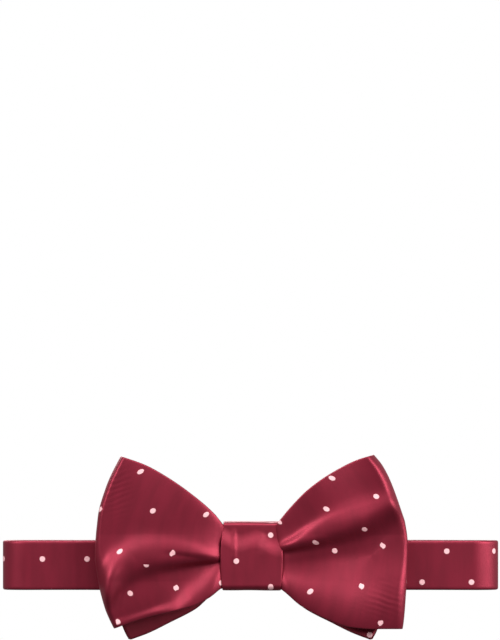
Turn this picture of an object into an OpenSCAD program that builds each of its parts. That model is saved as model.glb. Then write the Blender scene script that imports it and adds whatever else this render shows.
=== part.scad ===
// Pre-tied gentleman's bow tie in pin-dot silk satin: a folded bow over a flat rear bow,
// held by a wrapped knot on an adjustable neck band with a hook, an eye ring and a slider.
// Millimetres. +X is the wearer's left, +Z is up and the front faces -Y.
// The origin is the middle of the flat back of the knot, level with the middle of the band.

/* [Neck band] */
// Height of the finished band
band_h = 19; // [16:0.5:24]
// Thickness of the band, sleeve and interlining together
band_t = 1.6; // [1.4:0.1:1.8]
// Width of the closed neck band when it lies flattened, over the turns
loop_w = 191; // [175:1:230]
// Depth of the closed band, between the middles of its front and back runs
loop_d = 17.8; // [17:0.2:30]
// Thickness of the silk on each side of an interlining
silk_t = 0.5; // [0.4:0.05:0.55]

/* [Front bow] */
// Width of the bow over its two folds
bow_w = 120; // [110:1:130]
// Height of the upper tips above the middle of the band
tip_top = 42; // [38:0.5:46]
// Depth of the lower edge of the front bow below the middle of the band
tip_bottom = 24; // [20:0.5:27]
// Thickness of the folded bow strip
bow_t = 1.6; // [1.4:0.1:1.8]
// How far the front leaf swells forward between knot and fold
bow_swell = 7.5; // [4:0.5:9]
// Radius of the soft fold at each side of the bow
fold_r = 3.6; // [3:0.2:4.4]
// Share of the half width by which the upper left tip is drawn in
left_top_pull = 0.17; // [0.05:0.01:0.2]
// Share of the half width by which the lower left corner is drawn in
left_bottom_pull = 0.12; // [0:0.01:0.2]
// Share of the half width by which the upper right tip is drawn in
right_top_pull = 0.2; // [0.05:0.01:0.2]
// Share of the half width by which the lower right corner is drawn in
right_bottom_pull = 0.02; // [0:0.01:0.2]

/* [Rear bow] */
// Height of the hidden upper tips of the rear bow
rear_tip_top = 36.5; // [30:0.5:37]
// Depth of the lower tips of the rear bow, which show below the front bow
rear_tip_bottom = 28; // [26:0.5:31]
// Distance of the lower tips from the middle of the bow
rear_tip_x = 47; // [42:0.5:50]

/* [Knot] */
// Top of the knot above the middle of the band
knot_top = 17; // [16.5:0.5:19]
// Bottom of the knot below the middle of the band
knot_bottom = 9.5; // [9.5:0.5:11]
// Depth of the knot from its flat back to its front
knot_d = 16; // [16:0.5:18]
// Thickness of the wrap around the knot
wrap_t = 1.2; // [1:0.1:1.2]

/* [Hardware] */
// Diameter of the wire of the ring, the hook's bar and the slider's bar
wire_d = 1.6; // [1.4:0.1:1.6]
// Play between a bar and the strap that turns on it
bar_play = 0.15; // [0.1:0.05:0.2]
// Distance of the slider's bar from the hook's bar, along the tail
tail_l = 60; // [50:1:75]
// Width of the hook's tongue
tongue_w = 8; // [6:0.5:10]
// Diameter of the sewing thread
thread_d = 0.4; // [0.3:0.05:0.45]

/* [Hidden] */
$fn = 48;

silk = [0.51, 0.12, 0.2];
silk_shade = [0.4, 0.08, 0.15];
canvas = [0.9, 0.86, 0.76];
nickel = [0.78, 0.78, 0.8];
thread = [0.35, 0.06, 0.12];

// Band: the front run lies just inside the back of the knot
knot_gap = 0.2;
turn_r = loop_d / 2;
turn_x = loop_w / 2 - turn_r - band_t / 2;
front_y = -wrap_t - knot_gap - band_t / 2;
back_y = front_y + loop_d;
cavity_t = band_t - 2 * silk_t;
lining_t = cavity_t - 0.1;
cavity_h = 13.4;
lining_h = 13;
pinch_h = 15.2;
pinch_x = 14;
plain_x = 24;
lap = 1;
cavity_margin = 3;
lining_margin = 3.5;

// Bow layers at the waist, from back to front
binding_t = 0.6;
binding_w = 5;
binding_play = 0.4;
layer_gap = 0.1;
waist_top = 14.2;
waist_bottom = -6.8;
waist_bundle_t = 4;
rear_y = front_y - band_t / 2 - 0.3 - binding_t - layer_gap;
leaf_back_y = rear_y - bow_t - 0.2 - bow_t / 2;
leaf_waist_y = leaf_back_y - bow_t / 2 - 0.6 - waist_bundle_t / 2;
flare_start = 0.25;
bow_lining_t = 0.35;
wing_rings = 20;
wing_rows = 6;
fold_from = 0.25;
fold_to = 0.5;

// Straps: their ends are pressed a little thinner, and a loop's middle layer runs at loop_r
// around its bar
wire_r = wire_d / 2;
pressed_t = band_t - 0.1;
loop_swell = 0.05;
loop_lap = 0.3;
loop_r = wire_r + bar_play + pressed_t / 2;
bar_y = back_y + loop_r;
ring_x = -48;
ring_l = 7.5;
hook_x = -31.5;
side_z = band_h / 2 + 0.3 + wire_r;
pressed_h = band_h - 0.4;
seam_l = 14;
stub_l = 4;
tail_slant = 1.5;
tail_loop_l = 12;
slider_x = hook_x + tail_l * cos(tail_slant) + 2 * loop_r * sin(tail_slant);
slider_y = bar_y - tail_l * sin(tail_slant) + 2 * loop_r * cos(tail_slant);
frame_bar_r = 0.7;
frame_bar_y = back_y - band_t / 2 - 0.3 - frame_bar_r;
frame_half_l = 6.5;
left_plain_x = ring_x - seam_l - 0.5;
right_plain_x = hook_x + 17;
seam_slant = asin((2 * loop_r - pressed_t - 0.05) / seam_l);
tail_seam_slant = asin((2 * loop_r - pressed_t - 0.05) / tail_loop_l);

// ---- Shared shapes ----

// A strip along X with rounded long edges, between two x positions
module strip_x(from, to, middle_y, t, h) {
    translate([from, middle_y, 0]) rotate([90, 0, 90]) linear_extrude(to - from) {
        square([t, h - t], center = true);
        for (side = [-1, 1]) translate([0, side * (h - t) / 2]) circle(d = t);
    }
}

// A plain box along X, between two x positions
module slab_x(from, to, middle_y, t, h) {
    translate([from, middle_y - t / 2, -h / 2]) cube([to - from, t, h]);
}

// The band's half turn at one side, round a vertical axis
module band_turn(side) {
    translate([side * turn_x, (front_y + back_y) / 2, 0]) rotate([0, 0, side * 90 - 180])
        rotate_extrude(angle = 180) translate([turn_r, 0]) {
            square([band_t, band_h - band_t], center = true);
            for (end = [-1, 1]) translate([0, end * (band_h - band_t) / 2]) circle(d = band_t);
        }
}

// The ring of cloth round a bar, open towards -X; its upper end goes on by the given angle
module loop_ring(slant) {
    reach = 10;
    difference() {
        circle(r = loop_r + pressed_t / 2 + loop_swell);
        circle(r = loop_r - pressed_t / 2 - loop_swell);
        polygon([[0, 0], [-reach * sin(slant), reach * cos(slant)],
            [-reach, reach], [-reach, -reach], [0, -reach]]);
    }
}

// Plan of a strap end turned round a bar at the origin: the main layer comes from -X below the
// bar, and the returned layer goes back above it, sloping down by the given angle
module strap_loop(main_l, return_l, slant) {
    translate([-main_l, -loop_r - pressed_t / 2]) square([main_l + loop_lap, pressed_t]);
    loop_ring(slant);
    rotate(slant) translate([-return_l, loop_r - pressed_t / 2])
        square([return_l + loop_lap, pressed_t]);
}

// Raises a plan to the height of a pressed strap end, about the middle of the band
module strap_height() {
    linear_extrude(pressed_h, center = true) children();
}

// A zigzag row of thread along Z, flat on the plane y = 0
module zigzag_z(l, w, count) {
    step = l / count;
    for (i = [0:count - 1]) {
        slope = i % 2 == 0 ? 1 : -1;
        translate([0, 0, -l / 2 + (i + 0.5) * step]) rotate([0, slope * atan(w / step), 0])
            cylinder(h = norm([w, step]), d = thread_d, center = true, $fn = 16);
    }
}

// Points of a rounded rectangle, with one radius at its low side and one at its high side
function corner(x, y, r, from) =
    [for (a = [0:15:90]) [x + r * cos(from + a), y + r * sin(from + a)]];
function rounded_box(x0, x1, y0, y1, r_low, r_high) = concat(
    corner(x1 - r_high, y1 - r_high, r_high, 0), corner(x0 + r_low, y1 - r_low, r_low, 90),
    corner(x0 + r_low, y0 + r_low, r_low, 180), corner(x1 - r_high, y0 + r_high, r_high, 270));

// A ring about the X axis, cut from a rounded rectangle given in Y and Z
module ring_about_x(l, y0, y1, z0, z1, r_front, r_back, t) {
    rotate([90, 0, 90]) linear_extrude(l, center = true) difference() {
        polygon(rounded_box(y0, y1, z0, z1, r_front, r_back));
        polygon(rounded_box(y0 + t, y1 - t, z0 + t, z1 - t, r_front - t, r_back - t));
    }
}

// ---- Front bow: one strip that runs round both folds ----

// Share of the way from the edge of the knot to the fold
function flare(a) = max(0, (a - flare_start) / (1 - flare_start));
function top_edge(a) = waist_top + 1.2 * min(1, a / flare_start)
    + (tip_top - waist_top - 1.2) * pow(flare(a), 0.7);
function bottom_edge(a) = waist_bottom - 1 * min(1, a / flare_start)
    - (tip_bottom + waist_bottom - 1) * pow(flare(a), 0.75);

// Half width of the bow at height share v, with its upper and lower corners drawn in
function half_width(v, top_pull, bottom_pull) = bow_w / 2 - bow_t / 2
    - bow_w / 2 * (top_pull * pow(max(0, 2 * v - 1), 2) + bottom_pull * pow(max(0, 1 - 2 * v), 2));

// Radius of the fold, which is pressed tighter towards its upper and lower ends
function fold_at(v) = fold_r * (1 - 0.5 * pow(2 * v - 1, 4));

// Depth of the front leaf at share a of the way out, swelling less towards its edges
function leaf_depth(a, v) =
    leaf_waist_y + (leaf_back_y - 2 * fold_at(v) - leaf_waist_y) * flare(a)
    - bow_swell * (1 - 0.35 * pow(2 * v - 1, 2)) * sin(180 * pow(flare(a), 0.8));

// Share of the half width reached at s, which goes from the back of the waist round the fold
// to the front of the waist
function wing_share(s) =
    s < fold_from ? s / fold_from : s < fold_to ? 1 : (1 - s) / (1 - fold_to);

// Plan of one wing's middle layer at height share v, for half width w
function wing_plan(s, v, w) =
    let (r = fold_at(v), turn = 180 * (s - fold_from) / (fold_to - fold_from))
    s < fold_from ? [(w - r) * wing_share(s), leaf_back_y]
    : s < fold_to ? [w - r + r * sin(turn), leaf_back_y - r + r * cos(turn)]
    : [(w - r) * wing_share(s), leaf_depth(wing_share(s), v)];

// The strip is gathered into a thick bundle where the front leaf passes the knot
function wing_thickness(s, t) = t + (s < fold_to ? 0
    : (waist_bundle_t - bow_t) * pow(1 - min(1, wing_share(s) / flare_start), 2));

// Height share of a row of points; the first and last rows are moved in by the trim
function row_share(row, height, trim) =
    min(1 - trim / height, max(trim / height, row / wing_rows));

// One point of the strip; skin is 1 on the outside and -1 on the inside
function wing_point(side, s, row, skin, t, trim) =
    let (a = wing_share(s),
         low = bottom_edge(a),
         height = top_edge(a) - low,
         v = row_share(row, height, trim),
         top_pull = side < 0 ? left_top_pull : right_top_pull,
         bottom_pull = side < 0 ? left_bottom_pull : right_bottom_pull,
         w = half_width(v, top_pull, bottom_pull),
         here = wing_plan(s, v, w),
         along = wing_plan(min(1, s + 0.01), v, w) - wing_plan(max(0, s - 0.01), v, w),
         out = [-along[1], along[0]] / norm(along) * skin * wing_thickness(s, t) / 2)
    [side * (here[0] + out[0]), here[1] + out[1], low + height * v];

function wing_section(side, s, t, trim) = concat(
    [for (row = [0:wing_rows]) wing_point(side, s, row, 1, t, trim)],
    [for (row = [wing_rows:-1:0]) wing_point(side, s, row, -1, t, trim)]);

// The strip as one closed solid, with each face's corners taken clockwise from outside
module bow_strip(t, trim) {
    sections = concat(
        [for (i = [0:wing_rings]) wing_section(-1, i / wing_rings, t, trim)],
        [for (i = [1:wing_rings - 1]) wing_section(1, 1 - i / wing_rings, t, trim)]);
    n = len(sections);
    m = 2 * (wing_rows + 1);
    polyhedron(
        points = [for (section = sections) each section],
        faces = [for (i = [0:n - 1], j = [0:m - 1]) each
            let (a = i * m + j, b = i * m + (j + 1) % m,
                 c = ((i + 1) % n) * m + (j + 1) % m, d = ((i + 1) % n) * m + j)
            [[a, b, c], [a, c, d]]],
        convexity = 8);
}

module front_bow() {
    color(silk) difference() {
        bow_strip(bow_t, 0);
        bow_strip(cavity_t, 1);
    }
}

module front_bow_interlining() {
    color(canvas) bow_strip(bow_lining_t, 1.4);
}

// ---- Rear bow: two flat blades in one piece ----

// Outline of the rear bow in X and Z; inset draws every edge in
function rear_half(inset) = [
    [binding_w / 2 + 1, waist_top - inset],
    [11, waist_top + 1 - inset],
    [21, 22.5 - inset],
    [rear_tip_x - 3 - inset / 2, rear_tip_top - inset],
    [rear_tip_x + 5 - inset, rear_tip_top - 10],
    [rear_tip_x + 8.5 - inset, 5],
    [rear_tip_x + 5.5 - inset, -12],
    [rear_tip_x + 1.3 - inset, 1 + inset - rear_tip_bottom],
    [rear_tip_x - inset, inset - rear_tip_bottom],
    [33, inset - rear_tip_bottom + 5.5],
    [20, waist_bottom - 9 + inset],
    [12.4, waist_bottom - 1.2 + inset],
    [binding_w / 2 + 1, waist_bottom + inset]];

module rear_plate(inset, from_y, t) {
    right = rear_half(inset);
    left = [for (i = [len(right) - 1:-1:0]) [-right[i][0], right[i][1]]];
    translate([0, from_y, 0]) rotate([90, 0, 0]) linear_extrude(t) polygon(concat(right, left));
}

module rear_bow() {
    color(silk_shade) difference() {
        rear_plate(0, rear_y, bow_t);
        rear_plate(1, rear_y - silk_t, bow_t - 2 * silk_t);
    }
}

module rear_bow_interlining() {
    color(canvas) rear_plate(1.4, rear_y - silk_t - 0.05, lining_t);
}

// ---- Knot ----

// Half width of the knot from its bottom (0) to its top (1)
function knot_half_w(share) = 11.3 - 0.9 * share + 1.3 * sin(180 * share);

module knot_wrap() {
    knot_h = knot_top + knot_bottom;
    side = [for (i = [0:12]) [knot_half_w(i / 12), knot_h * i / 12 - knot_bottom]];
    other = [for (i = [12:-1:0]) [-side[i][0], side[i][1]]];
    color(silk) difference() {
        intersection() {
            ring_about_x(30, -knot_d, 0, -knot_bottom, knot_top, 5, 1.6, wrap_t);
            rotate([90, 0, 0]) linear_extrude(knot_d) polygon(concat(side, other));
        }
        translate([-8, -wrap_t / 2, knot_top - 6.5]) cube([16, wrap_t, 2.4]);
    }
}

module knot_interlining() {
    pad_t = 1.4;
    color(canvas) translate([-9, -knot_d + wrap_t + 0.1, -knot_bottom + 6]) cube([18, pad_t, 15]);
}

module waist_binding() {
    over = binding_t + layer_gap;
    over_edge = binding_t + binding_play;
    color(thread)
        ring_about_x(binding_w, leaf_waist_y - waist_bundle_t / 2 - over, rear_y + over,
            waist_bottom - over_edge, waist_top + over_edge, 1.1, 1.1, binding_t);
}

module knot_back_stitches() {
    color(thread) translate([0, -wrap_t / 4, knot_top - 5.3]) rotate([0, 90, 0])
        zigzag_z(14, 1.4, 14);
}

// ---- Neck band, front run and turns ----

module band_front_run() {
    full = band_h / 2;
    slim = pinch_h / 2;
    color(silk) difference() {
        union() {
            for (side = [0, 1]) mirror([side, 0, 0])
                strip_x(plain_x, turn_x, front_y, band_t, band_h);
            translate([0, front_y + band_t / 2, 0]) rotate([90, 0, 0]) linear_extrude(band_t)
                polygon([[-plain_x, -full], [-pinch_x, -slim], [pinch_x, -slim],
                    [plain_x, -full], [plain_x, full], [pinch_x, slim],
                    [-pinch_x, slim], [-plain_x, full]]);
        }
        slab_x(-turn_x - 1, turn_x + 1, front_y, cavity_t, cavity_h);
    }
}

module band_front_interlining() {
    color(canvas) slab_x(-turn_x + 1, turn_x - 1, front_y, lining_t, lining_h);
}

module band_left_turn() {
    color(silk) band_turn(-1);
}

module band_right_turn() {
    color(silk) band_turn(1);
}

// ---- Left strap, which holds the eye ring ----

module band_left_back_run() {
    color(silk) difference() {
        union() {
            strip_x(-turn_x, left_plain_x, back_y, band_t, band_h);
            translate([ring_x, bar_y, 0]) strap_height()
                strap_loop(ring_x - left_plain_x + lap, seam_l, seam_slant);
        }
        slab_x(-turn_x - 1, left_plain_x - cavity_margin, back_y, cavity_t, cavity_h);
    }
}

module band_left_interlining() {
    color(canvas)
        slab_x(-turn_x + 1, left_plain_x - lining_margin, back_y, lining_t, lining_h);
}

module left_bar_tack() {
    color(thread) translate([ring_x, bar_y, 0]) rotate([0, 0, seam_slant])
        translate([2.5 - seam_l, loop_r + pressed_t / 2 + thread_d / 2 + 0.02, 0])
            zigzag_z(16, 1.6, 16);
}

// A bar of wire parallel to Z with rounded ends
module wire_z(x, y, half_l, r) {
    translate([x, y, -half_l]) cylinder(h = 2 * half_l, r = r);
    for (end = [-1, 1]) translate([x, y, end * half_l]) sphere(r = r);
}

// Two bars of wire parallel to X, one above and one below the strap
module wire_pair_x(from, to, y, r) {
    for (end = [-1, 1]) translate([from, y, end * side_z]) rotate([0, 90, 0])
        cylinder(h = to - from, r = r);
}

module eye_ring() {
    color(nickel) {
        wire_z(ring_x, bar_y, side_z, wire_r);
        wire_z(ring_x + ring_l, bar_y, side_z, wire_r);
        wire_pair_x(ring_x, ring_x + ring_l, bar_y, wire_r);
    }
}

// ---- Right strap, which turns round the hook's bar and runs back to the slider ----

// Puts its children in the frame of the tail: origin on the hook's bar, tail along +X
module tail_frame() {
    translate([hook_x, bar_y, 0]) rotate([0, 0, -tail_slant]) children();
}

module band_right_back_run() {
    color(silk) difference() {
        union() {
            strip_x(right_plain_x, turn_x, back_y, band_t, band_h);
            translate([hook_x, bar_y, 0]) strap_height()
                mirror([1, 0]) strap_loop(right_plain_x - hook_x + lap, stub_l, tail_slant);
        }
        slab_x(right_plain_x + cavity_margin, turn_x + 1, back_y, cavity_t, cavity_h);
    }
}

module band_right_interlining() {
    color(canvas)
        slab_x(right_plain_x + lining_margin, turn_x - 1, back_y, lining_t, lining_h);
}

module adjuster_tail() {
    color(silk) tail_frame() strap_height() translate([stub_l, loop_r - pressed_t / 2])
        square([tail_l - tail_loop_l - stub_l, pressed_t]);
}

module adjuster_tail_loop() {
    color(silk) tail_frame() translate([tail_l, 2 * loop_r, 0]) strap_height()
        strap_loop(tail_loop_l, tail_loop_l - 1, tail_seam_slant);
}

module tail_bar_tack() {
    color(thread) tail_frame() translate([tail_l, 2 * loop_r, 0])
        rotate([0, 0, tail_seam_slant])
            translate([3.5 - tail_loop_l, loop_r + pressed_t / 2 + thread_d / 2 + 0.02, 0])
                zigzag_z(16, 1.6, 16);
}

module adjuster_slider() {
    color(nickel) {
        wire_z(slider_x, slider_y, side_z, wire_r);
        for (end = [-1, 1]) {
            wire_z(slider_x + end * frame_half_l, frame_bar_y, side_z, frame_bar_r);
            translate([slider_x, frame_bar_y, end * side_z]) rotate([-90, 0, 0])
                cylinder(h = slider_y - frame_bar_y, r = frame_bar_r);
        }
        wire_pair_x(slider_x - frame_half_l, slider_x + frame_half_l, frame_bar_y, frame_bar_r);
    }
}

// ---- Hook: a flat frame on the strap's bar, with a tongue curled into the eye ring ----

module hook() {
    plate_t = 1.2;
    tongue_t = 1;
    tongue_play = 0.45;
    curl_in = wire_r + tongue_play;
    curl_out = curl_in + tongue_t;
    catch_x = ring_x + ring_l;
    bridge_x = catch_x + 2.8;
    bridge_l = 2.2;
    arm_h = 2 * wire_r;
    color(nickel) {
        wire_z(hook_x, bar_y, side_z, wire_r);
        for (end = [-1, 1]) translate([bridge_x, bar_y - plate_t / 2, end * side_z - arm_h / 2])
            cube([hook_x - bridge_x, plate_t, arm_h]);
        translate([bridge_x, bar_y - plate_t / 2, -side_z]) cube([bridge_l, plate_t, 2 * side_z]);
        linear_extrude(tongue_w, center = true) {
            polygon([[catch_x, bar_y - curl_out], [bridge_x + 0.6, bar_y - plate_t / 2],
                [bridge_x + 0.6, bar_y + plate_t / 2], [bridge_x, bar_y + plate_t / 2],
                [catch_x, bar_y - curl_in]]);
            translate([catch_x, bar_y]) intersection() {
                difference() {
                    circle(r = curl_out);
                    circle(r = curl_in);
                }
                translate([-curl_out, -curl_out]) square(curl_out);
            }
        }
    }
}

front_bow();
front_bow_interlining();
rear_bow();
rear_bow_interlining();
knot_wrap();
knot_interlining();
waist_binding();
knot_back_stitches();
band_front_run();
band_front_interlining();
band_left_turn();
band_right_turn();
band_left_back_run();
band_left_interlining();
left_bar_tack();
eye_ring();
band_right_back_run();
band_right_interlining();
hook();
adjuster_tail();
adjuster_slider();
adjuster_tail_loop();
tail_bar_tack();
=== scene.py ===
import math

import bpy
import numpy as np
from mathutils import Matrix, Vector


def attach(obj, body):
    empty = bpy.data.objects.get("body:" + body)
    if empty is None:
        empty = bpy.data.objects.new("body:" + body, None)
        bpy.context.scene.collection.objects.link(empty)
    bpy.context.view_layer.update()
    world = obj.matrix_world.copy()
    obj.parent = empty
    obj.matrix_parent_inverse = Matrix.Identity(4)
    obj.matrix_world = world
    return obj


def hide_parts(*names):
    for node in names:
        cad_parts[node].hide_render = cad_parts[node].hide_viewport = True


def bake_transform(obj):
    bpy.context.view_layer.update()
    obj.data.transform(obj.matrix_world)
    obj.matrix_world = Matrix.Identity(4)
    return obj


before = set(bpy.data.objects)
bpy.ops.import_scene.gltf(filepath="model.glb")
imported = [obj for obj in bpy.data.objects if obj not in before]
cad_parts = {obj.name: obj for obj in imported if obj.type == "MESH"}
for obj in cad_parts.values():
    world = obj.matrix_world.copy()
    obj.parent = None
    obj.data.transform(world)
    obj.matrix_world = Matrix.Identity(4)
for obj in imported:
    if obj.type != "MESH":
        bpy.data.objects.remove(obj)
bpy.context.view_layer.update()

MM = 0.001


# ---- Curves and shapes ----

# How far from the cloth's end its thickness starts to round off
END_ROUND = 0.7


def curve(points, x):
    """A smooth line through points [(x, value)...], read at x; level beyond its ends."""
    px, py = (np.array(c, float) for c in zip(*points))
    step = np.diff(px)
    slope = np.diff(py) / step
    total = slope[1:] + slope[:-1]
    harmonic = 2 * slope[1:] * slope[:-1] / np.where(total == 0, 1, total)
    inner = np.where(slope[1:] * slope[:-1] > 0, harmonic, 0)
    tangent = np.concatenate([slope[:1], inner, slope[-1:]])
    x = np.clip(np.asarray(x, float), px[0], px[-1])
    i = np.clip(np.searchsorted(px, x, side="right") - 1, 0, len(px) - 2)
    t = (x - px[i]) / step[i]
    return (
        (2 * t**3 - 3 * t**2 + 1) * py[i]
        + (t**3 - 2 * t**2 + t) * step[i] * tangent[i]
        + (3 * t**2 - 2 * t**3) * py[i + 1]
        + (t**3 - t**2) * step[i] * tangent[i + 1]
    )


def smooth(x, low, high):
    """0 below low, 1 above high, smooth between."""
    t = np.clip((x - low) / (high - low), 0, 1)
    return t * t * (3 - 2 * t)


def bell(distance, width):
    """1 where distance is 0, and falling smoothly to almost nothing at twice the width."""
    return np.exp(-((distance / width) ** 2))


def wobble(x, z, wavelength, seed):
    """A gentle random unevenness from -1 to 1."""
    waves = 7
    rng = np.random.default_rng(seed)
    total = np.zeros(np.broadcast(x, z).shape)
    for _ in range(waves):
        angle, phase = rng.uniform(0, 2 * np.pi, 2)
        k = 2 * np.pi / wavelength / rng.uniform(0.7, 1.5)
        total += np.sin(k * (x * np.cos(angle) + z * np.sin(angle)) + phase)
    return total / waves


def arc_length(grid, axis):
    """Distance along a grid of points, along one of its axes."""
    step = np.linalg.norm(np.diff(grid, axis=axis), axis=-1)
    zero = np.zeros_like(np.take(step, [0], axis=axis))
    return np.concatenate([zero, np.cumsum(step, axis=axis)], axis=axis)


def travelled(points):
    """Distance along a line of points, at each of them."""
    step = np.linalg.norm(np.diff(points, axis=0), axis=1)
    return np.concatenate([[0], np.cumsum(step)])


def evenly(points, count):
    """count points evenly spaced along a line of points, and the distance along it of each."""
    length = travelled(points)
    at = np.linspace(0, length[-1], count)
    return np.stack([np.interp(at, length, points[:, k]) for k in (0, 1)], axis=1), at


def rounded_end(to_end, least=0.05):
    """Share of the thickness left near an end of the cloth, to_end millimetres from it."""
    close = np.clip(to_end / END_ROUND, 0, 1)
    return np.sqrt(np.clip(1 - (1 - close) ** 2, least, 1))


def cloth_mesh(name, centre, thickness, flat_uv, closed, rim_steps=6):
    """A strip of cloth with two skins and rolled long edges, as one closed mesh.

    centre is a grid of points, along the strip and then across it, in millimetres. thickness
    is a number or a grid. flat_uv is where each point lies on the flat cloth, in metres.
    A closed strip's last row is a copy of its first."""
    rows, columns = centre.shape[:2]
    last = columns - 1
    half = np.broadcast_to(np.asarray(thickness, float), (rows, columns)) / 2
    if closed:
        wrapped = np.concatenate([centre[-2:-1], centre, centre[1:2]])
        along = (wrapped[2:] - wrapped[:-2]) / 2
    else:
        along = np.gradient(centre, axis=0)
    across = np.gradient(centre, axis=1)
    normal = np.cross(along, across)
    normal /= np.linalg.norm(normal, axis=-1, keepdims=True)

    # The columns go up one skin, round the far edge, down the other skin and round the near edge.
    # A column's flat place can differ between the faces before it and the faces after it.
    ring, uv_after, uv_before = [], [], []

    def column(points, after, before):
        ring.append(points)
        uv_after.append(after)
        uv_before.append(before)

    def uv_at(j, offset):
        """Flat place of column j, moved up by offset millimetres."""
        uv = flat_uv[:, j].copy()
        uv[:, 1] += offset * MM
        return uv

    def rim(j, outward, start):
        """Points of the half round that goes from one skin to the other at a long edge."""
        for k in range(1, rim_steps):
            angle = math.pi * k / rim_steps
            turned = math.cos(angle) * start * normal[:, j] + math.sin(angle) * outward
            yield angle, centre[:, j] + half[:, j, None] * turned

    for j in range(columns):
        column(centre[:, j] + half[:, j, None] * normal[:, j], uv_at(j, 0), uv_at(j, 0))
    edge = across[:, -1] / np.linalg.norm(across[:, -1], axis=-1, keepdims=True)
    for angle, points in rim(last, edge, 1):
        uv = uv_at(last, half[:, -1] * angle)
        column(points, uv, uv)
    # The other skin's pattern is turned over about one level line, so its dots stay round
    over = half[:, -1] * math.pi
    mirror = 2 * flat_uv[:, -1, 1].mean() + over.mean() * MM
    for j in range(last, -1, -1):
        uv = flat_uv[:, j].copy()
        uv[:, 1] = mirror - uv[:, 1]
        before = uv if j < last else uv_at(j, over)
        column(centre[:, j] - half[:, j, None] * normal[:, j], uv, before)
    uv_after[-1] = uv_at(0, -half[:, 0] * math.pi)
    edge = -across[:, 0] / np.linalg.norm(across[:, 0], axis=-1, keepdims=True)
    for angle, points in rim(0, edge, -1):
        uv = uv_at(0, -half[:, 0] * (math.pi - angle))
        column(points, uv, uv)
    uv_before.append(uv_at(0, 0))

    ring = np.stack(ring, axis=1)
    around = ring.shape[1]
    left = np.stack(uv_after, axis=1)
    right = np.stack(uv_before[1:], axis=1)
    count = rows - 1 if closed else rows
    verts = ring[:count].reshape(-1, 3) * MM
    i, j = (a.ravel() for a in np.meshgrid(np.arange(rows - 1), np.arange(around), indexing="ij"))
    ahead, up = (i + 1) % count, (j + 1) % around
    faces = np.stack([i * around + j, i * around + up, ahead * around + up, ahead * around + j], axis=1)
    corner_uv = np.stack([left[i, j], right[i, j], right[i + 1, j], left[i + 1, j]], axis=1)
    faces, corner_uv = faces.tolist(), [corner_uv.reshape(-1, 2)]
    if not closed:
        # Close the two ends: quads between the skins, and a cap on each rolled edge
        far_side = last + rim_steps
        for row, order in ((0, 1), (rows - 1, -1)):
            for j in range(last):
                back = last + far_side - j
                quad = [row * around + c for c in (j, back, back - 1, j + 1)][::order]
                faces.append(quad)
                corner_uv.append(np.repeat(left[row, j][None], 4, axis=0))
            for low, high in ((last, far_side), (last + far_side, around)):
                loop = [row * around + c % around for c in range(low, high + 1)][::-order]
                faces.append(loop)
                corner_uv.append(np.repeat(left[row, low][None], len(loop), axis=0))
    mesh = bpy.data.meshes.new(name)
    mesh.from_pydata(verts.tolist(), [], faces)
    layer = mesh.uv_layers.new(name="cloth")
    layer.data.foreach_set("uv", np.concatenate(corner_uv).astype(np.float32).ravel())
    piece = bpy.data.objects.new(name, mesh)
    bpy.context.collection.objects.link(piece)
    # Turn the faces outwards if they look inwards
    tri = np.array([f[:3] for f in faces[: (rows - 1) * around]])
    a, b, c = verts[tri[:, 0]], verts[tri[:, 1]], verts[tri[:, 2]]
    if np.einsum("ij,ij->i", a, np.cross(b, c)).sum() < 0:
        mesh.flip_normals()
    mesh.polygons.foreach_set("use_smooth", [True] * len(mesh.polygons))
    mesh.update()
    return piece


# ---- Materials ----

SILK = (0.26, 0.0115, 0.034, 1)
# The rear layer's silk is the same satin as the rest, painted darker: painted shade for the shadow it
# lies in behind the front bow
SILK_SHADED = (0.22, 0.0095, 0.026, 1)
DOT = (0.9, 0.5, 0.53, 1)
CANVAS = (0.78, 0.72, 0.58, 1)
THREAD = (0.2, 0.01, 0.03, 1)
DOT_D = 2.1
DOT_SOFTNESS = 0.18
# About how many half waves a wave texture of scale 1 has in a metre
HALF_WAVES = 6.28


class Nodes:
    """Builds a material's nodes in order from left to right.

    add() takes socket names with _ for a space, or i0, i1 and so on for a socket's number."""

    def __init__(self, name):
        self.material = bpy.data.materials.new(name)
        self.material.use_nodes = True
        self.tree = self.material.node_tree
        self.tree.nodes.clear()
        self.out = self.tree.nodes.new("ShaderNodeOutputMaterial")
        self.x = 0

    def add(self, kind, settings=None, **inputs):
        node = self.tree.nodes.new(kind)
        self.x += 180
        node.location = (self.x, 0)
        for key, value in (settings or {}).items():
            setattr(node, key, value)
        for key, value in inputs.items():
            number = key[1:]
            socket = node.inputs[int(number) if number.isdigit() else key.replace("_", " ")]
            if isinstance(value, bpy.types.NodeSocket):
                self.tree.links.new(value, socket)
            else:
                socket.default_value = value
        return node

    def math(self, operation, a, b=0.0):
        return self.add("ShaderNodeMath", {"operation": operation}, i0=a, i1=b).outputs[0]

    def vector(self, operation, a, b=(0, 0, 0)):
        node = self.add("ShaderNodeVectorMath", {"operation": operation}, i0=a, i1=b)
        return node.outputs["Value" if operation == "LENGTH" else "Vector"]

    def ramp(self, value, low, high, to_low=0.0, to_high=1.0):
        node = self.add("ShaderNodeMapRange", {"interpolation_type": "SMOOTHSTEP"}, Value=value)
        limits = {"From Min": low, "From Max": high, "To Min": to_low, "To Max": to_high}
        for key, number in limits.items():
            node.inputs[key].default_value = number
        return node.outputs["Result"]

    def mix(self, share, a, b):
        node = self.add("ShaderNodeMix", {"data_type": "RGBA"})
        for index, value in ((0, share), (6, a), (7, b)):
            if isinstance(value, bpy.types.NodeSocket):
                self.tree.links.new(value, node.inputs[index])
            else:
                node.inputs[index].default_value = value
        return node.outputs[2]

    def finish(self, shader):
        self.tree.links.new(shader, self.out.inputs["Surface"])
        return self.material


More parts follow.
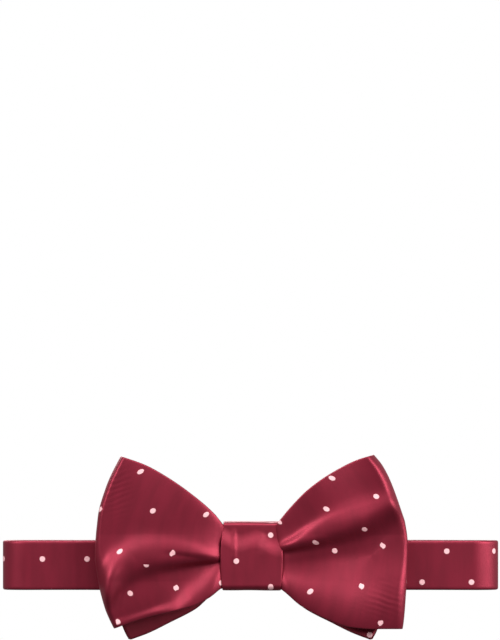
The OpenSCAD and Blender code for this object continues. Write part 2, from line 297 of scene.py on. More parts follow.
def pin_dots(n, uv, pitch, turn, shift):
    """1 inside the dots of a staggered lattice, 0 outside. Sizes in millimetres."""
    placed = n.add(
        "ShaderNodeMapping",
        Vector=uv,
        Location=(shift[0] * MM, shift[1] * MM, 0),
        Rotation=(0, 0, math.radians(turn)),
    ).outputs[0]
    across, up = pitch[0] * MM, pitch[1] * MM
    cell = n.vector("DIVIDE", placed, (across, up, 1))
    near = []
    for offset in (0.5, 1.0):
        moved = n.vector("ADD", cell, (offset, offset, 0))
        inside = n.vector("SUBTRACT", n.vector("FRACTION", moved), (0.5, 0.5, 0))
        near.append(n.vector("LENGTH", n.vector("MULTIPLY", inside, (across, up, 0))))
    distance = n.math("MINIMUM", *near)
    radius = DOT_D / 2 * MM
    return n.ramp(distance, radius * (1 + DOT_SOFTNESS), radius * (1 - DOT_SOFTNESS))


def satin(name, colour, lattices):
    """Silk satin with woven pin dots, on cloth measured in millimetres along it, u, and up, v.

    Each lattice is (pitch, turn, shift, zone). The folds swallow cloth, so a lattice lies only in
    its zone: where a * u + b * v > c for every (a, b, c) of the zone."""
    n = Nodes(name)
    uv = n.add("ShaderNodeTexCoord").outputs["UV"]
    cloth_uv = n.add("ShaderNodeSeparateXYZ", Vector=uv)
    dots = None
    for pitch, turn, shift, zone in lattices:
        these = pin_dots(n, uv, pitch, turn, shift)
        for a, b, c in zone:
            along = n.math("MULTIPLY", cloth_uv.outputs["X"], float(a))
            place = n.math("ADD", along, n.math("MULTIPLY", cloth_uv.outputs["Y"], float(b)))
            these = n.math("MULTIPLY", these, n.math("GREATER_THAN", place, c * MM))
        dots = these if dots is None else n.math("MAXIMUM", dots, these)
    # Satin floats: fine threads much longer up the cloth than they are wide, with slubs
    threads = n.add(
        "ShaderNodeTexNoise",
        Vector=n.vector("MULTIPLY", uv, (9000, 700, 1)),
        Scale=1.0,
        Detail=2.0,
    ).outputs["Fac"]
    slubs = n.add(
        "ShaderNodeTexNoise",
        Vector=n.vector("MULTIPLY", uv, (260, 60, 1)),
        Scale=1.0,
        Detail=3.0,
    ).outputs["Fac"]
    shade = n.ramp(slubs, 0.3, 0.7)
    darker = tuple(c * 0.86 for c in colour[:3]) + (1,)
    cloth = n.mix(shade, darker, colour)
    base = n.mix(dots, cloth, DOT)
    raised = n.math("ADD", n.math("MULTIPLY", threads, 0.12), n.math("MULTIPLY", dots, 0.8))
    bump = n.add("ShaderNodeBump", Strength=0.35, Distance=0.0002, Height=raised)
    shader = n.add(
        "ShaderNodeBsdfPrincipled",
        Base_Color=base,
        Normal=bump.outputs[0],
        Metallic=n.ramp(dots, 0.0, 1.0, 0.72, 0.1),
        Roughness=n.ramp(dots, 0.0, 1.0, 0.45, 0.6),
    )
    gloss = {
        "Specular IOR Level": 0.9,
        "Specular Tint": (1.0, 0.9, 0.9, 1),
        "Sheen Weight": 0.06,
        "Sheen Roughness": 0.4,
        "Sheen Tint": (1.0, 0.45, 0.55, 1),
        "Anisotropic": 0.4,
    }
    for key, value in gloss.items():
        shader.inputs[key].default_value = value
    return n.finish(shader.outputs[0])


def plain_weave(name, colour, rib):
    """Coarse canvas or thread, mottled by its fibres.

    The relief is very faint. Its ribs and gaps are about rib millimetres wide, but both wave
    textures band along X, so the second hardly varies from 0 and flattens their product."""
    n = Nodes(name)
    where = n.add("ShaderNodeTexCoord").outputs["Object"]
    weave = []
    for direction in ((1, 0.15, 0), (0, 0, 1)):
        stripes = n.add(
            "ShaderNodeTexWave",
            {"bands_direction": "X"},
            Vector=n.vector("MULTIPLY", where, direction),
            Scale=1 / (rib * MM) / HALF_WAVES,
            Distortion=0.6,
        )
        weave.append(stripes.outputs["Fac"])
    height = n.math("MULTIPLY", *weave)
    fibres = n.add("ShaderNodeTexNoise", Vector=where, Scale=1400.0, Detail=3.0).outputs["Fac"]
    dark = tuple(c * 0.7 for c in colour[:3]) + (1,)
    bump = n.add("ShaderNodeBump", Strength=0.5, Distance=0.0002, Height=height)
    shader = n.add(
        "ShaderNodeBsdfPrincipled",
        Base_Color=n.mix(fibres, dark, colour),
        Normal=bump.outputs[0],
        Roughness=0.85,
    )
    return n.finish(shader.outputs[0])


def nickel():
    """Nickel plate with faint scuffs."""
    n = Nodes("nickel_plate")
    where = n.add("ShaderNodeTexCoord").outputs["Object"]
    scuffs = n.add(
        "ShaderNodeTexNoise",
        Vector=n.vector("MULTIPLY", where, (1, 1, 6)),
        Scale=900.0,
        Detail=4.0,
    ).outputs["Fac"]
    cloud = n.add("ShaderNodeTexNoise", Vector=where, Scale=160.0, Detail=2.0).outputs["Fac"]
    bump = n.add("ShaderNodeBump", Strength=0.06, Distance=0.0001, Height=scuffs)
    shader = n.add(
        "ShaderNodeBsdfPrincipled",
        Base_Color=n.mix(cloud, (0.62, 0.6, 0.57, 1), (0.74, 0.73, 0.71, 1)),
        Metallic=1.0,
        Roughness=n.ramp(scuffs, 0.3, 0.8, 0.2, 0.34),
        Normal=bump.outputs[0],
    )
    return n.finish(shader.outputs[0])


# ---- Front bow ----

# Outline of the bow from the front, by side: -1 is the left wing and 1 the right. x is measured
# from the middle and z from the band's middle. The outer edge is (z, x), the other two (x, z).
OUTER_EDGE = {
    -1: [(-24.2, 53.0), (-16, 56.2), (-5, 58.8), (4, 59.8), (18.8, 58.7), (30, 55.6), (41.8, 50.4)],
    1: [(-24.4, 58.9), (-13.7, 59.6), (-2.6, 60.2), (8.7, 60.4), (16, 59.5), (20.5, 58.1),
        (31.9, 54.0), (38, 51.0), (42.2, 48.0)],
}
TOP_EDGE = {
    -1: [(0, 12.4), (8, 13.2), (10.6, 15.4), (12, 17.4), (14.2, 20.0), (21.6, 26.4), (31.5, 33.4),
         (41.3, 38.8), (50.4, 42.0)],
    1: [(0, 12.4), (8, 13.2), (10.8, 16.6), (15.4, 22.1), (22.7, 29.4), (32.3, 36.0), (42, 40.8),
        (48.0, 42.6)],
}
BOTTOM_EDGE = {
    -1: [(0, -6.6), (8, -7.2), (11.2, -8.6), (16, -12.2), (22, -15.2), (31, -17.7), (36.4, -18.9),
         (46.2, -21.7), (53.0, -24.2)],
    1: [(0, -6.6), (8, -7.2), (11.2, -8.6), (19.9, -15.6), (30, -20.6), (39, -23.6), (48.7, -24.4),
        (58.9, -24.4)],
}
BACK_Y = -6.6
WAIST_Y = -11.3
FLARE_FROM = 0.195
FOLD_FROM, FOLD_TO = 0.25, 0.5
SWELL = 4.2
LEAN = {-1: 0.05, 1: 0.13}
LOWER_LEAN = 0.06
STRIP_T, EDGE_T, CORE_T = 1.4, 0.7, 0.35
BUNDLE_T = 2.0


def half_width(side, v):
    """How far out the fold reaches, at height share v."""
    edge = OUTER_EDGE[side]
    z = edge[0][0] + (edge[-1][0] - edge[0][0]) * v
    return curve(edge, z) - STRIP_T / 2


def fold_radius(v):
    """Half the gap between the leaves at the fold, which is pressed flatter at its lower end."""
    return 3.4 * (1 - 0.3 * np.clip(1 - 2 * v, 0, 1) ** 4)


def flare(a):
    """0 inside the knot and 1 at the fold, where a is the share of the way out."""
    return np.clip((a - FLARE_FROM) / (1 - FLARE_FROM), 0, 1)


def nose_depth(side, v):
    """How far the round of the fold reaches in from its outer edge."""
    if side > 0:
        return 2.6
    return 1.3 + 1.8 * bell(v - 0.3, 0.15)


# Folds of the front leaf, as lines of (x, z, height, width) from the knot outwards. Below a step
# the cloth stands forward by its height; a pleat stands forward along its line only.
STEPS = {
    -1: [
        [(4, 4.6, 0.4, 3), (14, 5.2, 0.5, 3), (22, 7.8, 0.8, 4), (33, 9.6, 1.1, 5.5),
         (42, 9.0, 1.6, 6), (49, 6.2, 2.0, 6), (53, 3.2, 2.6, 6), (55, -1, 2.8, 5),
         (55.8, -6, 2.6, 4), (56.4, -11, 2.2, 4), (58.5, -20, 2.0, 4)],
        [(4, 2.6, -0.6, 2), (14, 2.0, -3.4, 2.2), (23.5, 1.0, -3.6, 3), (33, -0.4, -3.4, 4),
         (39, -1.8, -3.2, 5), (45, -4.4, -3.0, 5), (51, -9.0, -3.0, 4.5), (56, -16, -3.0, 4),
         (62, -26, -3.0, 4)],
        [(14, 3.0, 0, 1.5), (20, 3.8, -0.9, 1.7), (27, 4.8, -0.7, 1.8), (36, 5.6, 0, 2),
         (50, 5.6, 0, 2)],
        [(4, 3, 2.0, 6), (10, 0.5, 3.0, 6), (14, -2.5, 3.6, 7), (19, -7, 4.4, 8),
         (24, -11.5, 4.8, 8), (29, -16.5, 4.8, 8), (35, -22, 4.8, 8)],
    ],
    1: [
        [(4, 6.5, 1.0, 3), (14, 8.8, 1.8, 3), (22, 14.2, 2.2, 3.6), (30, 18.8, 2.2, 4.8),
         (40, 22.4, 2.3, 6.5), (48, 24.6, 2.4, 7), (60, 28, 2.4, 7)],
        [(4, 4.4, -1.0, 2), (14, 6.4, -3.0, 2.4), (20, 7.6, -3.6, 3), (34, 10.8, -4.2, 4.5),
         (44, 13.8, -4.6, 6), (52, 18, -4.8, 7), (60, 22, -4.8, 7)],
        [(4, 0.5, -0.5, 4), (14, 2.2, -1.0, 5), (30, 5.0, -1.3, 6), (44, 7.5, -1.0, 7),
         (60, 12, -0.5, 8)],
        [(4, -2, 1.6, 5), (16, -5.0, 2.2, 7), (30, -6.5, 2.5, 11), (45, -5, 2.5, 13),
         (60, -1, 2.5, 14)],
    ],
}
PLEATS = {
    -1: [
        [(45, 4, 0, 3), (50.5, 0, 1.0, 3.5), (53.6, -5, 1.6, 3), (54.6, -10, 1.4, 3),
         (56, -16, 0.4, 3)],
        [(28, -16.0, 0, 1.5), (34, -17.4, 0.8, 1.7), (44, -20.6, 0.9, 1.7),
         (53, -23.4, 0.6, 1.6)],
    ],
    1: [
        [(13, 6, 0, 4), (13, -4, 0.8, 4), (13.5, -10, 0.9, 4), (15, -18, 0.4, 4)],
    ],
}
# How many points a fold's line is measured at
LINE_POINTS = 50
# Places with fine wrinkles, as (x, width, z, height) by side
CRUMPLED = {-1: (52, 5, 30, 9), 1: (52, 6, -13, 6)}


def along_line(path, x, z):
    """Signed distance above a line of nodes, and the height and width at the nearest place on it."""
    nodes = np.array(path, float)
    length = travelled(nodes[:, :2])
    at = np.linspace(0, length[-1], LINE_POINTS)
    line = np.stack([curve(list(zip(length, column)), at) for column in nodes.T])
    start, step = line[:, :-1], np.diff(line, axis=1)
    from_x, from_z = x[..., None] - start[0], z[..., None] - start[1]
    share = np.clip((from_x * step[0] + from_z * step[1]) / (step[0] ** 2 + step[1] ** 2), 0, 1)
    gap = np.hypot(from_x - share * step[0], from_z - share * step[1])
    near = gap.argmin(axis=-1)[..., None]
    gap, share, from_x, from_z = (
        np.take_along_axis(c, near, -1)[..., 0] for c in (gap, share, from_x, from_z)
    )
    near = near[..., 0]
    above = step[0][near] * from_z - step[1][near] * from_x > 0
    height, width = start[2:, near] + share * step[2:, near]
    return np.where(above, gap, -gap), height, width


def relief(side, x, z):
    """How far the front leaf stands forward of its plain swelling, at x and z."""
    total = 0.1 * wobble(x, z, 16, 3 + side)
    centre_x, width, centre_z, height = CRUMPLED[side]
    crumpled = bell(x - centre_x, width) * bell(z - centre_z, height)
    total += 0.04 * crumpled * np.sin((z + 0.35 * x) * 3 + 2 * wobble(x, z, 9, 5))
    for path in STEPS[side]:
        gap, _, width = along_line(path, x, z)
        height = curve([(node[0], node[2]) for node in path], x)
        total += height * (0.5 - 0.5 * np.tanh(2.2 * gap / width))
    for path in PLEATS[side]:
        gap, height, width = along_line(path, x, z)
        total += height * bell(gap, width)
    return total * (0.15 + 0.85 * smooth(x, 10, 15))


def wing_grid(side, s, v):
    """Middle layer of one wing. s goes from the back of the waist round the fold to the front."""
    r = fold_radius(v)
    nose = nose_depth(side, v)
    w = half_width(side, v)
    back, front = s < FOLD_FROM, s >= FOLD_TO
    a = np.where(back, s / FOLD_FROM, np.where(front, (1 - s) / (1 - FOLD_TO), 1.0))
    turn = math.pi * np.clip((s - FOLD_FROM) / (FOLD_TO - FOLD_FROM), 0, 1)
    x = np.where(back | front, (w - nose) * a, w - nose + nose * np.sin(turn))
    top, bottom = TOP_EDGE[side], BOTTOM_EDGE[side]
    share = np.clip(x / np.maximum(w, 1), 0, 1)
    high = curve(top, share * top[-1][0]) - EDGE_T / 2
    low = curve(bottom, share * bottom[-1][0]) + EDGE_T / 2
    z = low + (high - low) * v
    out = flare(a)
    flatter_below = 1 - 0.15 * np.clip(1 - 2 * v, 0, 1) ** 2
    swell = SWELL * flatter_below * np.sin(np.pi * out**0.52) ** (1 + 0.9 * out**2)
    waist = WAIST_Y - 1.6 * smooth(x, 7.6, 11.4) * (1 - 0.6 * smooth(z, -2, 16))
    front_y = waist + (BACK_Y - 2 * r - waist) * out - swell
    y = np.where(back, BACK_Y, np.where(front, front_y, BACK_Y - r + r * np.cos(turn)))
    facing = np.where(front, 1.0, smooth(turn, 0.35 * math.pi, math.pi))
    lean = LEAN[side] * np.clip(z - 12, 0, 40) + LOWER_LEAN * np.clip(-6 - z, 0, 20)
    y = y - (relief(side, x, z) + lean * smooth(out, 0, 0.5)) * facing
    return np.stack([side * x, y, z], axis=-1)


def bow_grid(margin=0.0, across=130):
    """Both wings' middle layer as one closed strip, and what its thickness gains or loses."""
    s = np.concatenate([
        np.linspace(0, FOLD_FROM, 26)[:-1],
        np.linspace(FOLD_FROM, FOLD_TO, 25)[:-1],
        np.linspace(FOLD_TO, 1, 110),
    ])
    v = np.linspace(margin, 1 - margin, across)
    s_grid, v_grid = np.meshgrid(s, v, indexing="ij")
    left = wing_grid(-1, s_grid, v_grid)
    right = wing_grid(1, s_grid, v_grid)[::-1]
    grid = np.concatenate([left, right[1:]])
    out = np.where(s_grid > FOLD_TO, (1 - s_grid) / (1 - FOLD_TO), 1)
    bundle = BUNDLE_T * (1 - np.clip(out / FLARE_FROM, 0, 1)) ** 2
    bundle = np.concatenate([bundle, bundle[::-1][1:]])
    pressed = (STRIP_T - EDGE_T) * np.abs(2 * v - 1)[None] ** 10
    return grid, bundle - pressed


def bow_uv(grid):
    """Flat place of each point: along the strip from the front of the waist, and up from the
    level of the band's middle."""
    along = arc_length(grid, 0)
    up = arc_length(grid, 1)
    level = np.abs(grid[:, :, 2]).argmin(axis=1)
    up -= up[np.arange(len(up)), level][:, None]
    middle = along[len(along) // 2][None]
    return np.stack([along - middle, up], axis=-1) * MM


def front_bow():
    """The folded strip, thicker where it is gathered in the knot, and the canvas inside it."""
    grid, gain = bow_grid()
    silk = cloth_mesh("front_bow_silk", grid, STRIP_T + gain, bow_uv(grid), closed=True)
    core, _ = bow_grid(margin=0.04, across=60)
    lining = cloth_mesh("front_bow_canvas", core, CORE_T, bow_uv(core), closed=True, rim_steps=3)
    return silk, lining


# ---- Rear bow ----

REAR_TOP = [(0, 13.8), (11, 14.6), (21, 22), (33, 30.5), (43.5, 36)]
REAR_BOTTOM = [(0, -7), (11.3, -8.3), (21.6, -16.3), (31.6, -21.5), (39.5, -25.4), (47.0, -28.2)]
# How far out the rear bow reaches, by share of its height
REAR_EDGE = [(0, 47.0), (0.04, 48.4), (0.25, 53), (0.5, 55), (0.8, 51), (1, 43.5)]
REAR_Y = -4.8
REAR_T, REAR_CORE_T, REAR_SEAM = 1.4, 0.4, 1.4


def rear_grid(trim, rows, across):
    """Middle layer of the rear bow, cut back by trim all round, and the share of the way out."""
    a, v = np.meshgrid(np.linspace(-1, 1, rows), np.linspace(0, 1, across), indexing="ij")
    x = (curve(REAR_EDGE, v) - trim) * a
    top = curve(REAR_TOP, np.abs(a) * REAR_TOP[-1][0]) - trim
    bottom = curve(REAR_BOTTOM, np.abs(a) * REAR_BOTTOM[-1][0]) + trim
    z = bottom + (top - bottom) * v
    tipped = 1.6 * smooth(x, 20, 40) * smooth(-z, 20, 28)
    waved = 0.5 * smooth(np.abs(x), 12, 40) * np.sin(v * 5 + a)
    y = REAR_Y - tipped + waved + 0.12 * wobble(x, z, 22, 8)
    return np.stack([x, y, z], axis=-1), a


def rear_bow():
    """The flat rear layer with rounded ends, and the canvas inside it."""
    grid, a = rear_grid(0, 141, 50)
    thickness = REAR_T * rounded_end((1 - np.abs(a)) * REAR_BOTTOM[-1][0], least=0.04)
    silk = cloth_mesh("rear_bow_silk", grid, thickness, grid[:, :, [0, 2]] * MM, closed=False)
    core, _ = rear_grid(REAR_SEAM, 61, 20)
    uv = core[:, :, [0, 2]] * MM
    lining = cloth_mesh("rear_bow_canvas", core, REAR_CORE_T, uv, closed=False, rim_steps=3)
    return silk, lining


# ---- Knot ----

KNOT_TOP, KNOT_BOTTOM, KNOT_FRONT = 17.0, -9.5, -16.0
KNOT_X = 0.45
WRAP_T, PAD_T = 1.05, 0.7
PAD_BEHIND_WRAP = 1.95
THREAD_D = 0.5


def knot_loop(count):
    """Middle line of the wrap in Y and Z, from the top of its back round the front."""
    t = 0.55
    # Each corner is its centre, its two radii and the angle at which it starts
    corners = [
        ((-1.8, KNOT_TOP - 1.8), (1.8 - t, 1.8 - t), 0),
        ((KNOT_FRONT + 3, KNOT_TOP - 1.4), (3 - t, 1.4 - t), 90),
        ((KNOT_FRONT + 3, KNOT_BOTTOM + 2), (3 - t, 2 - t), 180),
        ((-1.8, KNOT_BOTTOM + 1.8), (1.8 - t, 1.8 - t), 270),
    ]
    points = []
    for (y, z), (ry, rz), start in corners:
        for angle in np.radians(np.linspace(start, start + 90, 40)):
            points.append((y + ry * math.cos(angle), z + rz * math.sin(angle)))
    points.append(points[0])
    return evenly(np.array(points), count)


def knot_set_back(x, y, z):
    """How far the wrap's top lies behind its front, past a wavy shelf."""
    shelf = 9.6 - 0.12 * x + 1.1 * np.sin(x / 2.3 + 0.6)
    return 1.7 * smooth(z, shelf - 4.0, shelf + 3.5) * smooth(-y, 9, 13)


def knot():
    """The wrap, with a raised crease and a dent in front and a sunk seam behind."""
    line, at = knot_loop(220)
    along = np.roll(line[:-1], -1, axis=0) - np.roll(line[:-1], 1, axis=0)
    along = np.concatenate([along, along[:1]])
    outward = np.stack([along[:, 1], -along[:, 0]], axis=1)
    outward /= np.linalg.norm(outward, axis=1, keepdims=True)
    middle = line[:-1].mean(axis=0)
    if ((line - middle) * outward).sum() < 0:
        outward = -outward
    share = np.clip((line[:, 1] - KNOT_BOTTOM) / (KNOT_TOP - KNOT_BOTTOM), 0, 1)
    half_w = curve([(0, 10.7), (0.15, 11.2), (0.5, 11.5), (0.85, 10.9), (1, 10.2)], share)
    q = np.linspace(-1, 1, 70)
    x = half_w[:, None] * q[None]
    z = np.repeat(line[:, 1:2], len(q), axis=1)
    y = np.repeat(line[:, :1], len(q), axis=1)
    front = smooth(-y, 9, 13)
    crease = 0.3 * bell(x + 6.8, 0.9) * smooth(z, 0, 4) * (1 - smooth(z, 12, 15)) * front
    dent = 0.35 * bell(x - 3 - 0.25 * z, 2.2) * smooth(z, 4, 9) * front
    back = smooth(y, -1.4, -0.8)
    seam = 0.6 * back * (1 - smooth(np.abs(x), 7.6, 8.4)) * bell(z - 11.7, 1.5)
    bulge = 0.15 * wobble(x, z, 14, 5) * front + crease - dent - seam
    y = y + outward[:, :1] * bulge + knot_set_back(x, y, z)
    z = z + outward[:, 1:] * bulge
    grid = np.stack([x + KNOT_X, y, z], axis=-1)
    uv = np.stack([x, np.repeat(at[:, None], len(q), axis=1)], axis=-1)
    return cloth_mesh("knot_wrap_silk", grid, WRAP_T, uv * MM, closed=True)


def knot_pad():
    """Interlining pressed against the inside of the wrap's front."""
    line, _ = knot_loop(400)
    front = line[(line[:, 0] < -9) & (line[:, 1] > -4) & (line[:, 1] < 12)]
    front = front[np.linspace(0, len(front) - 1, 30).astype(int)]
    across = np.linspace(-8.5, 8.5, 24)
    x, y = np.meshgrid(across, front[:, 0] + PAD_BEHIND_WRAP, indexing="ij")
    z = np.repeat(front[None, :, 1], len(across), axis=0)
    y = y + knot_set_back(x, y - PAD_BEHIND_WRAP, z)
    grid = np.stack([x + KNOT_X, y, z], axis=-1)
    uv = grid[:, :, [0, 2]] * MM
    return cloth_mesh("knot_pad_canvas", grid, PAD_T, uv, closed=False, rim_steps=4)


def waist_binding():
    """Turns of thread wound round the gathered waist, as one closed ring."""

    def squarer(part):
        return np.sign(part) * np.abs(part) ** 0.6

    angle = np.linspace(0, 2 * np.pi, 97)
    y = -7.9 + 4.3 * squarer(np.cos(angle))
    z = 3.0 + 9.9 * squarer(np.sin(angle))
    x = np.linspace(-2.5, 2.5, 41)
    grid = np.stack(np.broadcast_arrays(x[None], y[:, None], z[:, None]), axis=-1)
    turns = THREAD_D + 0.12 * np.cos(2 * np.pi * x / THREAD_D)
    thickness = np.broadcast_to(turns, grid.shape[:2])
    uv = np.stack([arc_length(grid, 0), arc_length(grid, 1)], axis=-1) * MM
    return cloth_mesh("waist_binding_thread", grid, thickness, uv, closed=True, rim_steps=4)


# ---- Neck band ----

BAND_T, STRAP_T = 1.5, 1.42
STRAP_HALF_H = 9.3
# Half height of the band by distance from the middle of the knot, which pinches it
BAND_HALF_H = [(0, 7.6), (14, 7.6), (24, 9.5), (99, 9.5)]
FRONT_Y, BACK_RUN_Y = -2.2, 15.6
TURN_X, TURN_R = 85.8, 8.9
BAR_Y, LOOP_R = 17.3, 1.7
RING_X, HOOK_X = -48.0, -31.5
RING_LOOP_L, STUB_L, TAIL_L, TAIL_LOOP_L = 13.5, 4.0, 60.0, 12.0
SEAM_SLANT, TAIL_SLANT, TAIL_SEAM_SLANT = (math.radians(angle) for angle in (7.6, 1.5, 8.9))


def plan_line(parts, step):
    """Evenly spaced points in plan through corners (x, y) and arcs (x, y, radius, start, end)."""
    points = []
    for part in parts:
        if len(part) == 2:
            points.append(part)
        else:
            cx, cy, r, start, end = part
            for angle in np.radians(np.linspace(start, end, 60)):
                points.append((cx + r * math.cos(angle), cy + r * math.sin(angle)))
    points = np.array(points)
    return evenly(points, int(travelled(points)[-1] / step) + 1)


def strap(name, line, at, half_h, thickness, seed):
    """A flat strap on edge along a line in plan, slightly uneven."""
    q = np.linspace(-1, 1, 26)
    x = np.repeat(line[:, :1], len(q), axis=1)
    y = np.repeat(line[:, 1:], len(q), axis=1)
    height = half_h - thickness / 2 + 0.07 * wobble(at, 0 * at, 30, seed)
    z = height[:, None] * q[None]
    y = y + 0.06 * wobble(x, z, 24, seed + 1)
    grid = np.stack([x, y, z], axis=-1)
    uv = np.stack([np.repeat(at[:, None], len(q), axis=1), z], axis=-1) * MM
    return cloth_mesh(name, grid, np.repeat(thickness[:, None], len(q), axis=1), uv, closed=False)


def band_tail():
    """The strap's tail, from behind the hook's bar to the slider, sewn round the slider's bar."""
    turn = TAIL_SEAM_SLANT
    parts = [
        (STUB_L - 0.05, LOOP_R),
        (TAIL_L, 2 * LOOP_R, LOOP_R, -90, 90 + math.degrees(turn)),
        (
            TAIL_L - (TAIL_LOOP_L - 1) * math.cos(turn) - LOOP_R * math.sin(turn),
            2 * LOOP_R - (TAIL_LOOP_L - 1) * math.sin(turn) + LOOP_R * math.cos(turn),
        ),
    ]
    line, at = plan_line(parts, 0.5)
    cos, sin = math.cos(-TAIL_SLANT), math.sin(-TAIL_SLANT)
    line = line @ np.array([[cos, sin], [-sin, cos]]) + [HOOK_X, BAR_Y]
    thickness = STRAP_T * rounded_end(at[-1] - at)
    return strap("band_tail_silk", line, at, np.full(len(at), STRAP_HALF_H), thickness, 25)


def band_half(side):
    """One half of the neck band: from the middle of the knot round the turn to its bar."""
    centre_y = (FRONT_Y + BACK_RUN_Y) / 2
    if side < 0:
        bar_x, back_l, slope = -RING_X, RING_LOOP_L, SEAM_SLANT
    else:
        bar_x, back_l, slope = HOOK_X, STUB_L, TAIL_SLANT
    parts = [
        (0, FRONT_Y),
        (TURN_X, centre_y, TURN_R, -90, 90),
        (bar_x, BAR_Y, LOOP_R, -90, -270 + math.degrees(slope)),
    ]
    last_angle = math.radians(-270) + slope
    end = (
        bar_x + LOOP_R * math.cos(last_angle) + back_l * math.cos(slope),
        BAR_Y + LOOP_R * math.sin(last_angle) - back_l * math.sin(slope),
    )
    parts.append(end)
    line, at = plan_line(parts, 0.6)
    behind = line[:, 1] > centre_y
    in_front = curve(BAND_HALF_H, line[:, 0])
    half_h = np.where(behind, STRAP_HALF_H + 0.2 * smooth(line[:, 0], 22, 30), in_front)
    thickness = np.where(behind, STRAP_T, BAND_T)
    thickness = thickness * rounded_end(at[-1] - at if side < 0 else at + 1)
    line = line * [side, 1]
    name = "band_left_silk" if side < 0 else "band_right_silk"
    return strap(name, line, at, half_h, thickness, 20 + side)


# ---- Build the pieces ----

# Zones are half-planes of the flat cloth, as satin() reads them
LEFT, RIGHT = (-1, 0, 0), (1, 0, 0)
bow_silk = satin(
    "burgundy_satin_bow",
    SILK,
    [
        ((20, 32), 0, (2, 10.4), [LEFT, (-0.045, 1, 2.5)]),
        ((18, 22), -7.5, (5, 16), [LEFT, (1, 0, -57), (0.045, -1, -2.5)]),
        ((20.5, 22), -15, (11.8, 19.2), [RIGHT, (-1, -1, -88), (-0.27, 1, 1.2)]),
        ((20.5, 22), -15, (11.8, 19.2), [(1, 0, 68), (-0.27, 1, 1.2)]),
        ((19, 30), -6, (3.8, 27.8), [(1, 0, 18), (0.27, -1, -1.2)]),
    ],
)
# The rear bow wears the darker copy of the satin, as painted shade
rear_silk = satin("burgundy_satin_rear", SILK_SHADED, [((19, 26), 0, (-7.8, 0.8), [])])
knot_silk = satin("burgundy_satin_knot", SILK, [((26.4, 19.8), 0, (5.9, 9.9), [])])
band_left_dots = satin("burgundy_satin_band_left", SILK, [((17.2, 26.4), 0, (5.9, 9.4), [])])
band_right_dots = satin("burgundy_satin_band_right", SILK, [((19, 23.8), 0, (0.5, 18.4), [])])
canvas = plain_weave("canvas_interlining", CANVAS, 0.5)
thread = plain_weave("burgundy_thread", THREAD, 0.25)
metal = nickel()


def paint(piece, material):
    piece.data.materials.clear()
    piece.data.materials.append(material)


def dress(piece, material):
    paint(piece, material)


FIXED = "bow_and_front_band"
bow, bow_lining = front_bow()
dress(bow, bow_silk)
dress(bow_lining, canvas)
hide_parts("front_bow")
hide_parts("front_bow_interlining")
rear, rear_lining = rear_bow()
dress(rear, rear_silk)
dress(rear_lining, canvas)
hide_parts("rear_bow")
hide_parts("rear_bow_interlining")
wrap = knot()
dress(wrap, knot_silk)
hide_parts("knot_wrap")
pad = knot_pad()
dress(pad, canvas)
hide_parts("knot_interlining")
binding = waist_binding()
dress(binding, thread)
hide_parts("waist_binding")
for piece in (bow, bow_lining, rear, rear_lining, wrap, pad, binding):
    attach(piece, FIXED)

band_left = band_half(-1)
band_right = band_half(1)
tail = band_tail()
dress(band_left, band_left_dots)
dress(band_right, band_right_dots)
dress(tail, band_right_dots)
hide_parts("band_left_turn", "band_left_back_run")
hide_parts("band_front_run", "band_right_turn", "band_right_back_run")
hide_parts("adjuster_tail", "adjuster_tail_loop")
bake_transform(band_left)
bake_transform(band_right)
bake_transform(tail)

for name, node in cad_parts.items():
    if name in ("eye_ring", "hook", "adjuster_slider"):
        paint(node, metal)
        bevel = node.modifiers.new("softened_edges", "BEVEL")
        bevel.width = 0.00015
        bevel.segments = 2
        bevel.limit_method = "ANGLE"
    elif name in ("knot_back_stitches", "left_bar_tack", "tail_bar_tack"):
        paint(node, thread)
    elif "interlining" in name:
        paint(node, canvas)


# ---- Camera, light and floor ----

SENSOR = 36
CAMERA_DISTANCE, VIEW_HEIGHT = 6000, 246.4

scene = bpy.context.scene
camera = bpy.data.objects.new("camera", bpy.data.cameras.new("camera"))
bpy.context.collection.objects.link(camera)
camera.data.sensor_width = SENSOR
camera.data.lens = SENSOR * CAMERA_DISTANCE / VIEW_HEIGHT
camera.location = (-0.0002, -CAMERA_DISTANCE * MM, 0.0944)
camera.rotation_euler = (math.pi / 2, 0, 0)
camera.data.clip_start = 0.1
camera.data.clip_end = 100
scene.camera = camera


def area_light(name, place, aim, size, power):
    light = bpy.data.lights.new(name, "AREA")
    light.shape = "RECTANGLE"
    light.size, light.size_y = size
    light.energy = power
    lamp = bpy.data.objects.new(name, light)
    bpy.context.collection.objects.link(lamp)
    lamp.location = place
    offset = np.array(aim) - np.array(place)
    lamp.rotation_euler = Vector(offset).to_track_quat("-Z", "Y").to_euler()


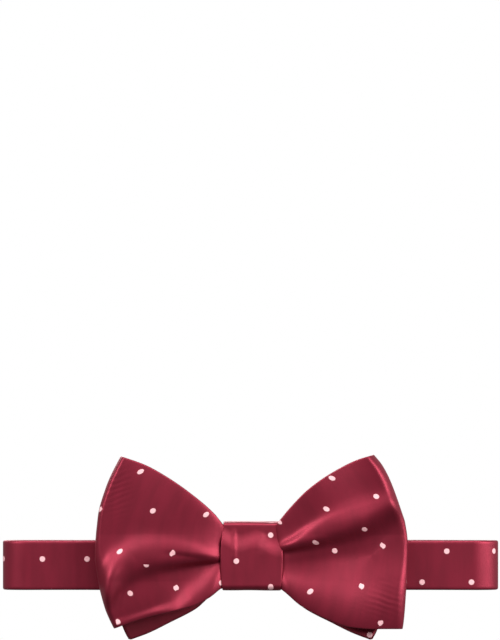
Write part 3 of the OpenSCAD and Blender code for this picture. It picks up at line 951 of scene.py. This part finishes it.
area_light("softbox_above", (-0.05, -0.53, 0.85), (0, 0, 0.01), (1.3, 0.35), 10)
area_light("softbox_left", (-0.85, -0.6, 0.42), (0, 0, 0), (0.4, 0.4), 5.2)
area_light("softbox_right", (0.9, -0.75, 0.35), (0, 0, 0), (0.6, 0.6), 9.5)
area_light("softbox_side", (1.15, -0.15, 0.2), (0, 0, 0), (0.5, 0.5), 4)
area_light("softbox_back", (-0.3, 1.0, 0.55), (0, 0, 0), (0.8, 0.5), 6)

# The room is plain white to look at, and gives a soft light that is stronger from above
world = bpy.data.worlds.new("white_studio")
world.use_nodes = True
nodes, links = world.node_tree.nodes, world.node_tree.links
nodes.clear()
seen = nodes.new("ShaderNodeBackground")
seen.inputs["Color"].default_value = (1, 1, 1, 1)
lighting = nodes.new("ShaderNodeBackground")
lighting.inputs["Color"].default_value = (1, 1, 1, 1)
where = nodes.new("ShaderNodeTexCoord")
height = nodes.new("ShaderNodeSeparateXYZ")
falloff = nodes.new("ShaderNodeMapRange")
links.new(where.outputs["Generated"], height.inputs[0])
links.new(height.outputs["Z"], falloff.inputs["Value"])
for key, value in (("From Min", -0.6), ("From Max", 0.8), ("To Min", 0.18), ("To Max", 0.52)):
    falloff.inputs[key].default_value = value
links.new(falloff.outputs["Result"], lighting.inputs["Strength"])
path = nodes.new("ShaderNodeLightPath")
choose = nodes.new("ShaderNodeMixShader")
output = nodes.new("ShaderNodeOutputWorld")
links.new(path.outputs["Is Camera Ray"], choose.inputs[0])
links.new(lighting.outputs[0], choose.inputs[1])
links.new(seen.outputs[0], choose.inputs[2])
links.new(choose.outputs[0], output.inputs[0])
scene.world = world
scene.view_settings.view_transform = "Standard"

bpy.ops.mesh.primitive_plane_add(size=1.2, location=(0, 0.1, -0.13))
floor = bpy.context.object
floor.name = "floor"
floor.visible_diffuse = False
floor.visible_glossy = False
n = Nodes("pale_floor")
grain = n.add("ShaderNodeTexNoise", Scale=30.0, Detail=2.0).outputs["Fac"]
pale = n.mix(grain, (0.86, 0.86, 0.86, 1), (0.9, 0.9, 0.9, 1))
paper = n.add("ShaderNodeBsdfPrincipled", Base_Color=pale, Roughness=0.9)
floor.data.materials.append(n.finish(paper.outputs[0]))
